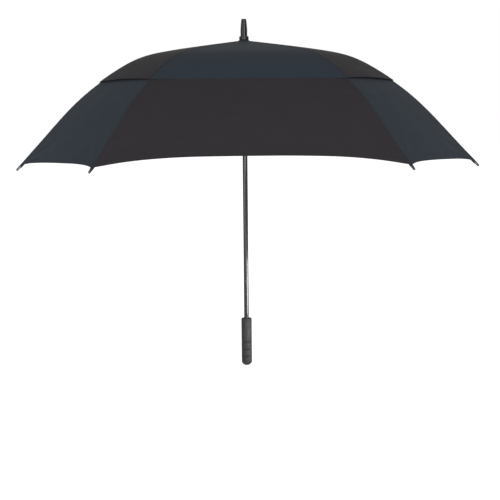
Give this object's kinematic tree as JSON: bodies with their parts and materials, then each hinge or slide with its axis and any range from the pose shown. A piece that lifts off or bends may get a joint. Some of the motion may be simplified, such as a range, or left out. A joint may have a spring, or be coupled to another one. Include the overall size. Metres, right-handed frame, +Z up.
{
  "type": "golf umbrella",
  "caption": "Manual golf umbrella with a vented square-cut canopy in alternating dark panels, a straight shaft and a moulded finger grip, shown open.",
  "frame": {"origin": "middle of the lowest point of the handle, on the shaft axis", "axes": "+Z up the shaft to the ferrule, -Y the side with the finger ridges and the front panel, +X right of it"},
  "size_m": [1.1426, 1.1426, 0.9853],
  "materials": {
    "cloth_navy": "satin woven pongee",
    "cloth_black": "satin woven pongee",
    "shaft_finish": "gloss",
    "grip_rubber": "matte",
    "ferrule_finish": "gloss",
    "hub_plastic": "satin",
    "rib_fibreglass": "satin",
    "stretcher_steel": "satin",
    "tip_metal": "satin",
    "bright_steel": "satin"
  },
  "bodies": {
    "shaft": {"shaft_tube": "shaft_finish", "handle_grip": "grip_rubber", "ferrule": "ferrule_finish", "cloth_cap": "cloth_navy", "crown": "hub_plastic", "crown_wire": "bright_steel", "catch_pins": "bright_steel"},
    "rib_1": {"rib_inner_1": "rib_fibreglass"},
    "rib_end_1": {"rib_outer_1": "rib_fibreglass", "rib_tip_1": "tip_metal"},
    "stretcher_1": {"stretcher_1": "stretcher_steel"},
    "rib_2": {"rib_inner_2": "rib_fibreglass"},
    "rib_end_2": {"rib_outer_2": "rib_fibreglass", "rib_tip_2": "tip_metal"},
    "stretcher_2": {"stretcher_2": "stretcher_steel"},
    "rib_3": {"rib_inner_3": "rib_fibreglass"},
    "rib_end_3": {"rib_outer_3": "rib_fibreglass", "rib_tip_3": "tip_metal"},
    "stretcher_3": {"stretcher_3": "stretcher_steel"},
    "rib_4": {"rib_inner_4": "rib_fibreglass"},
    "rib_end_4": {"rib_outer_4": "rib_fibreglass", "rib_tip_4": "tip_metal"},
    "stretcher_4": {"stretcher_4": "stretcher_steel"},
    "rib_5": {"rib_inner_5": "rib_fibreglass"},
    "rib_end_5": {"rib_outer_5": "rib_fibreglass", "rib_tip_5": "tip_metal"},
    "stretcher_5": {"stretcher_5": "stretcher_steel"},
    "rib_6": {"rib_inner_6": "rib_fibreglass"},
    "rib_end_6": {"rib_outer_6": "rib_fibreglass", "rib_tip_6": "tip_metal"},
    "stretcher_6": {"stretcher_6": "stretcher_steel"},
    "rib_7": {"rib_inner_7": "rib_fibreglass"},
    "rib_end_7": {"rib_outer_7": "rib_fibreglass", "rib_tip_7": "tip_metal"},
    "stretcher_7": {"stretcher_7": "stretcher_steel"},
    "rib_8": {"rib_inner_8": "rib_fibreglass"},
    "rib_end_8": {"rib_outer_8": "rib_fibreglass", "rib_tip_8": "tip_metal"},
    "stretcher_8": {"stretcher_8": "stretcher_steel"},
    "runner": {"runner": "hub_plastic", "runner_wire": "bright_steel"},
    "panel_front_inner": {"upper_panel_front": "cloth_navy"},
    "panel_front_outer": {"lower_panel_front": "cloth_black"},
    "panel_right_inner": {"upper_panel_right": "cloth_navy"},
    "panel_right_outer": {"lower_panel_right": "cloth_black"},
    "panel_back_inner": {"upper_panel_back": "cloth_navy"},
    "panel_back_outer": {"lower_panel_back": "cloth_black"},
    "panel_left_inner": {"upper_panel_left": "cloth_navy"},
    "panel_left_outer": {"lower_panel_left": "cloth_black"},
    "panel_front_right_inner": {"upper_panel_front_right": "cloth_black"},
    "panel_front_right_outer": {"lower_panel_front_right": "cloth_navy"},
    "panel_back_right_inner": {"upper_panel_back_right": "cloth_black"},
    "panel_back_right_outer": {"lower_panel_back_right": "cloth_navy"},
    "panel_back_left_inner": {"upper_panel_back_left": "cloth_black"},
    "panel_back_left_outer": {"lower_panel_back_left": "cloth_navy"},
    "panel_front_left_inner": {"upper_panel_front_left": "cloth_black"},
    "panel_front_left_outer": {"lower_panel_front_left": "cloth_navy"},
    "open_catch": {"open_catch": "bright_steel"},
    "closed_catch": {"closed_catch": "bright_steel"}
  },
  "joints": [
    {"name": "umbrella_fold", "type": "hinge", "parent": "shaft", "child": "rib_1", "pos_m": [0.00652, -0.01008, 0.91703], "axis": [0.8396, 0.5432, 0], "range_deg": [0, 77.49]},
    {"name": "rib_1_flex", "type": "hinge", "parent": "rib_1", "child": "rib_end_1", "pos_m": [0.19547, -0.30215, 0.84654], "axis": [0.8396, 0.5432, 0], "range_deg": [-26.94, 0]},
    {"name": "stretcher_1_pivot", "type": "hinge", "parent": "rib_1", "child": "stretcher_1", "pos_m": [0.18828, -0.29104, 0.84382], "axis": [0.8396, 0.5432, 0], "range_deg": [-155, 0]},
    {"name": "rib_2_fold", "type": "hinge", "parent": "shaft", "child": "rib_2", "pos_m": [0.01008, -0.00652, 0.91703], "axis": [0.5432, 0.8396, 0], "range_deg": [0, 77.51]},
    {"name": "rib_2_flex", "type": "hinge", "parent": "rib_2", "child": "rib_end_2", "pos_m": [0.30215, -0.19547, 0.84654], "axis": [0.5432, 0.8396, 0], "range_deg": [-26.94, 0]},
    {"name": "stretcher_2_pivot", "type": "hinge", "parent": "rib_2", "child": "stretcher_2", "pos_m": [0.29104, -0.18828, 0.84382], "axis": [0.5432, 0.8396, 0], "range_deg": [-155, 0]},
    {"name": "rib_3_fold", "type": "hinge", "parent": "shaft", "child": "rib_3", "pos_m": [0.01008, 0.00652, 0.91703], "axis": [-0.5432, 0.8396, 0], "range_deg": [0, 77.51]},
    {"name": "rib_3_flex", "type": "hinge", "parent": "rib_3", "child": "rib_end_3", "pos_m": [0.30215, 0.19547, 0.84654], "axis": [-0.5432, 0.8396, 0], "range_deg": [-26.94, 0]},
    {"name": "stretcher_3_pivot", "type": "hinge", "parent": "rib_3", "child": "stretcher_3", "pos_m": [0.29104, 0.18828, 0.84382], "axis": [-0.5432, 0.8396, 0], "range_deg": [-155, 0]},
    {"name": "rib_4_fold", "type": "hinge", "parent": "shaft", "child": "rib_4", "pos_m": [0.00652, 0.01008, 0.91703], "axis": [-0.8396, 0.5432, 0], "range_deg": [0, 77.51]},
    {"name": "rib_4_flex", "type": "hinge", "parent": "rib_4", "child": "rib_end_4", "pos_m": [0.19547, 0.30215, 0.84654], "axis": [-0.8396, 0.5432, 0], "range_deg": [-26.94, 0]},
    {"name": "stretcher_4_pivot", "type": "hinge", "parent": "rib_4", "child": "stretcher_4", "pos_m": [0.18828, 0.29104, 0.84382], "axis": [-0.8396, 0.5432, 0], "range_deg": [-155, 0]},
    {"name": "rib_5_fold", "type": "hinge", "parent": "shaft", "child": "rib_5", "pos_m": [-0.00652, 0.01008, 0.91703], "axis": [-0.8396, -0.5432, 0], "range_deg": [0, 77.51]},
    {"name": "rib_5_flex", "type": "hinge", "parent": "rib_5", "child": "rib_end_5", "pos_m": [-0.19547, 0.30215, 0.84654], "axis": [-0.8396, -0.5432, 0], "range_deg": [-26.94, 0]},
    {"name": "stretcher_5_pivot", "type": "hinge", "parent": "rib_5", "child": "stretcher_5", "pos_m": [-0.18828, 0.29104, 0.84382], "axis": [-0.8396, -0.5432, 0], "range_deg": [-155, 0]},
    {"name": "rib_6_fold", "type": "hinge", "parent": "shaft", "child": "rib_6", "pos_m": [-0.01008, 0.00652, 0.91703], "axis": [-0.5432, -0.8396, 0], "range_deg": [0, 77.51]},
    {"name": "rib_6_flex", "type": "hinge", "parent": "rib_6", "child": "rib_end_6", "pos_m": [-0.30215, 0.19547, 0.84654], "axis": [-0.5432, -0.8396, 0], "range_deg": [-26.94, 0]},
    {"name": "stretcher_6_pivot", "type": "hinge", "parent": "rib_6", "child": "stretcher_6", "pos_m": [-0.29104, 0.18828, 0.84382], "axis": [-0.5432, -0.8396, 0], "range_deg": [-155, 0]},
    {"name": "rib_7_fold", "type": "hinge", "parent": "shaft", "child": "rib_7", "pos_m": [-0.01008, -0.00652, 0.91703], "axis": [0.5432, -0.8396, 0], "range_deg": [0, 77.51]},
    {"name": "rib_7_flex", "type": "hinge", "parent": "rib_7", "child": "rib_end_7", "pos_m": [-0.30215, -0.19547, 0.84654], "axis": [0.5432, -0.8396, 0], "range_deg": [-26.94, 0]},
    {"name": "stretcher_7_pivot", "type": "hinge", "parent": "rib_7", "child": "stretcher_7", "pos_m": [-0.29104, -0.18828, 0.84382], "axis": [0.5432, -0.8396, 0], "range_deg": [-155, 0]},
    {"name": "rib_8_fold", "type": "hinge", "parent": "shaft", "child": "rib_8", "pos_m": [-0.00652, -0.01008, 0.91703], "axis": [0.8396, -0.5432, 0], "range_deg": [0, 77.51]},
    {"name": "rib_8_flex", "type": "hinge", "parent": "rib_8", "child": "rib_end_8", "pos_m": [-0.19547, -0.30215, 0.84654], "axis": [0.8396, -0.5432, 0], "range_deg": [-26.94, 0]},
    {"name": "stretcher_8_pivot", "type": "hinge", "parent": "rib_8", "child": "stretcher_8", "pos_m": [-0.18828, -0.29104, 0.84382], "axis": [0.8396, -0.5432, 0], "range_deg": [-155, 0]},
    {"name": "runner_slide", "type": "hinge", "parent": "stretcher_1", "child": "runner", "pos_m": [0.00652, -0.01008, 0.77061], "axis": [0.8396, 0.5432, 0], "range_deg": [0, 77.51]},
    {"name": "panel_front_fold", "type": "hinge", "parent": "shaft", "child": "panel_front_inner", "pos_m": [0, -0.012, 0.91703], "axis": [1, 0, 0], "range_deg": [0, 75.38], "deforming": ["upper_panel_front"]},
    {"name": "panel_front_flex", "type": "hinge", "parent": "panel_front_inner", "child": "panel_front_outer", "pos_m": [0, -0.30215, 0.85364], "axis": [1, 0, 0], "range_deg": [-30.33, 0], "deforming": ["lower_panel_front"]},
    {"name": "panel_right_fold", "type": "hinge", "parent": "shaft", "child": "panel_right_inner", "pos_m": [0.012, 0, 0.91703], "axis": [0, 1, 0], "range_deg": [0, 75.38], "deforming": ["upper_panel_right"]},
    {"name": "panel_right_flex", "type": "hinge", "parent": "panel_right_inner", "child": "panel_right_outer", "pos_m": [0.30215, 0, 0.85364], "axis": [0, 1, 0], "range_deg": [-30.33, 0], "deforming": ["lower_panel_right"]},
    {"name": "panel_back_fold", "type": "hinge", "parent": "shaft", "child": "panel_back_inner", "pos_m": [0, 0.012, 0.91703], "axis": [-1, 0, 0], "range_deg": [0, 75.38], "deforming": ["upper_panel_back"]},
    {"name": "panel_back_flex", "type": "hinge", "parent": "panel_back_inner", "child": "panel_back_outer", "pos_m": [0, 0.30215, 0.85364], "axis": [-1, 0, 0], "range_deg": [-30.33, 0], "deforming": ["lower_panel_back"]},
    {"name": "panel_left_fold", "type": "hinge", "parent": "shaft", "child": "panel_left_inner", "pos_m": [-0.012, 0, 0.91703], "axis": [0, -1, 0], "range_deg": [0, 75.38], "deforming": ["upper_panel_left"]},
    {"name": "panel_left_flex", "type": "hinge", "parent": "panel_left_inner", "child": "panel_left_outer", "pos_m": [-0.30215, 0, 0.85364], "axis": [0, -1, 0], "range_deg": [-30.33, 0], "deforming": ["lower_panel_left"]},
    {"name": "panel_front_right_fold", "type": "hinge", "parent": "shaft", "child": "panel_front_right_inner", "pos_m": [0.00849, -0.00849, 0.91703], "axis": [0.7071, 0.7071, 0], "range_deg": [0, 77.47], "deforming": ["upper_panel_front_right"]},
    {"name": "panel_front_right_flex", "type": "hinge", "parent": "panel_front_right_inner", "child": "panel_front_right_outer", "pos_m": [0.24881, -0.24881, 0.85364], "axis": [0.7071, 0.7071, 0], "range_deg": [-28.2, 0], "deforming": ["lower_panel_front_right"]},
    {"name": "panel_back_right_fold", "type": "hinge", "parent": "shaft", "child": "panel_back_right_inner", "pos_m": [0.00849, 0.00849, 0.91703], "axis": [-0.7071, 0.7071, 0], "range_deg": [0, 77.47], "deforming": ["upper_panel_back_right"]},
    {"name": "panel_back_right_flex", "type": "hinge", "parent": "panel_back_right_inner", "child": "panel_back_right_outer", "pos_m": [0.24881, 0.24881, 0.85364], "axis": [-0.7071, 0.7071, 0], "range_deg": [-28.2, 0], "deforming": ["lower_panel_back_right"]},
    {"name": "panel_back_left_fold", "type": "hinge", "parent": "shaft", "child": "panel_back_left_inner", "pos_m": [-0.00849, 0.00849, 0.91703], "axis": [-0.7071, -0.7071, 0], "range_deg": [0, 77.47], "deforming": ["upper_panel_back_left"]},
    {"name": "panel_back_left_flex", "type": "hinge", "parent": "panel_back_left_inner", "child": "panel_back_left_outer", "pos_m": [-0.24881, 0.24881, 0.85364], "axis": [-0.7071, -0.7071, 0], "range_deg": [-28.2, 0], "deforming": ["lower_panel_back_left"]},
    {"name": "panel_front_left_fold", "type": "hinge", "parent": "shaft", "child": "panel_front_left_inner", "pos_m": [-0.00849, -0.00849, 0.91703], "axis": [0.7071, -0.7071, 0], "range_deg": [0, 77.47], "deforming": ["upper_panel_front_left"]},
    {"name": "panel_front_left_flex", "type": "hinge", "parent": "panel_front_left_inner", "child": "panel_front_left_outer", "pos_m": [-0.24881, -0.24881, 0.85364], "axis": [0.7071, -0.7071, 0], "range_deg": [-28.2, 0], "deforming": ["lower_panel_front_left"]},
    {"name": "open_catch_press", "type": "hinge", "parent": "shaft", "child": "open_catch", "pos_m": [0, -0.003, 0.66391], "axis": [-1, 0, 0], "range_deg": [0, 3.5], "stiffness_Nm_per_rad": 0.05},
    {"name": "closed_catch_press", "type": "hinge", "parent": "shaft", "child": "closed_catch", "pos_m": [0, -0.003, 0.28343], "axis": [1, 0, 0], "range_deg": [0, 3.5], "stiffness_Nm_per_rad": 0.05}
  ],
  "couplings": [
    {"joint": "rib_1_flex", "follows": "umbrella_fold", "ratio": -0.34737},
    {"joint": "stretcher_1_pivot", "follows": "umbrella_fold", "ratio": -2},
    {"joint": "rib_2_fold", "follows": "umbrella_fold", "ratio": 1},
    {"joint": "rib_2_flex", "follows": "umbrella_fold", "ratio": -0.34737},
    {"joint": "stretcher_2_pivot", "follows": "umbrella_fold", "ratio": -2},
    {"joint": "rib_3_fold", "follows": "umbrella_fold", "ratio": 1},
    {"joint": "rib_3_flex", "follows": "umbrella_fold", "ratio": -0.34737},
    {"joint": "stretcher_3_pivot", "follows": "umbrella_fold", "ratio": -2},
    {"joint": "rib_4_fold", "follows": "umbrella_fold", "ratio": 1},
    {"joint": "rib_4_flex", "follows": "umbrella_fold", "ratio": -0.34737},
    {"joint": "stretcher_4_pivot", "follows": "umbrella_fold", "ratio": -2},
    {"joint": "rib_5_fold", "follows": "umbrella_fold", "ratio": 1},
    {"joint": "rib_5_flex", "follows": "umbrella_fold", "ratio": -0.34737},
    {"joint": "stretcher_5_pivot", "follows": "umbrella_fold", "ratio": -2},
    {"joint": "rib_6_fold", "follows": "umbrella_fold", "ratio": 1},
    {"joint": "rib_6_flex", "follows": "umbrella_fold", "ratio": -0.34737},
    {"joint": "stretcher_6_pivot", "follows": "umbrella_fold", "ratio": -2},
    {"joint": "rib_7_fold", "follows": "umbrella_fold", "ratio": 1},
    {"joint": "rib_7_flex", "follows": "umbrella_fold", "ratio": -0.34737},
    {"joint": "stretcher_7_pivot", "follows": "umbrella_fold", "ratio": -2},
    {"joint": "rib_8_fold", "follows": "umbrella_fold", "ratio": 1},
    {"joint": "rib_8_flex", "follows": "umbrella_fold", "ratio": -0.34737},
    {"joint": "stretcher_8_pivot", "follows": "umbrella_fold", "ratio": -2},
    {"joint": "runner_slide", "follows": "umbrella_fold", "ratio": 1},
    {"joint": "panel_front_fold", "follows": "umbrella_fold", "ratio": 0.97249},
    {"joint": "panel_front_flex", "follows": "umbrella_fold", "ratio": -0.3911},
    {"joint": "panel_right_fold", "follows": "umbrella_fold", "ratio": 0.97249},
    {"joint": "panel_right_flex", "follows": "umbrella_fold", "ratio": -0.3911},
    {"joint": "panel_back_fold", "follows": "umbrella_fold", "ratio": 0.97249},
    {"joint": "panel_back_flex", "follows": "umbrella_fold", "ratio": -0.3911},
    {"joint": "panel_left_fold", "follows": "umbrella_fold", "ratio": 0.97249},
    {"joint": "panel_left_flex", "follows": "umbrella_fold", "ratio": -0.3911},
    {"joint": "panel_front_right_fold", "follows": "umbrella_fold", "ratio": 0.9994},
    {"joint": "panel_front_right_flex", "follows": "umbrella_fold", "ratio": -0.3636},
    {"joint": "panel_back_right_fold", "follows": "umbrella_fold", "ratio": 0.9994},
    {"joint": "panel_back_right_flex", "follows": "umbrella_fold", "ratio": -0.3636},
    {"joint": "panel_back_left_fold", "follows": "umbrella_fold", "ratio": 0.9994},
    {"joint": "panel_back_left_flex", "follows": "umbrella_fold", "ratio": -0.3636},
    {"joint": "panel_front_left_fold", "follows": "umbrella_fold", "ratio": 0.9994},
    {"joint": "panel_front_left_flex", "follows": "umbrella_fold", "ratio": -0.3636}
  ]
}
